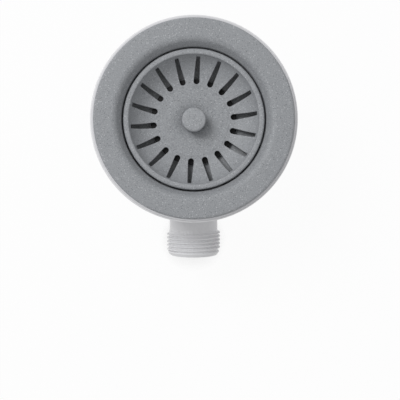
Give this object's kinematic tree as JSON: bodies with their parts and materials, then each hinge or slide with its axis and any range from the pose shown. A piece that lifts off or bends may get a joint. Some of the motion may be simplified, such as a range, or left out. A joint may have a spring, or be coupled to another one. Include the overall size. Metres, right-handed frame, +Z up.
{
  "type": "basket strainer waste",
  "caption": "Kitchen sink basket strainer waste: speckled grey flange, bowl and lift-out slotted basket with knob, on a white plastic body with threaded outlet and side overflow port.",
  "frame": {"origin": "on the drain's axis, at the open end of the outlet, which is what the part stands on", "axes": "+Z up the drain's axis to the sink, -Y towards the overflow port, +X to the right seen from above with the port below"},
  "size_m": [0.118, 0.1405, 0.095],
  "materials": {
    "stone_coat": "speckled light grey granite-look coating, fine satin grain",
    "stone_plastic": "speckled light grey granite-look finish, satin",
    "white_seal": "soft white seal rubber, matt",
    "white_plastic": "moulded white polypropylene, satin",
    "white_washer": "plain white nylon",
    "brass": "turned brass",
    "stainless": "turned stainless steel",
    "black_rubber": "black rubber, matt"
  },
  "bodies": {
    "waste": {"strainer_flange": "stone_coat", "flange_seal": "white_seal", "body_seal": "white_seal", "waste_body": "white_plastic", "threaded_insert": "brass", "fixing_screw": "stainless", "screw_washer": "white_washer"},
    "basket": {"strainer_basket": "stone_plastic", "basket_knob": "stone_plastic", "basket_stem": "stainless", "stem_ring": "black_rubber", "stopper_seal": "black_rubber", "stopper_washer": "stainless", "stem_nut": "stainless"}
  },
  "joints": [
    {"name": "basket_lift", "type": "slide", "parent": "waste", "child": "basket", "axis": [0, 0, 1], "range_m": [0, 0.05]}
  ]
}
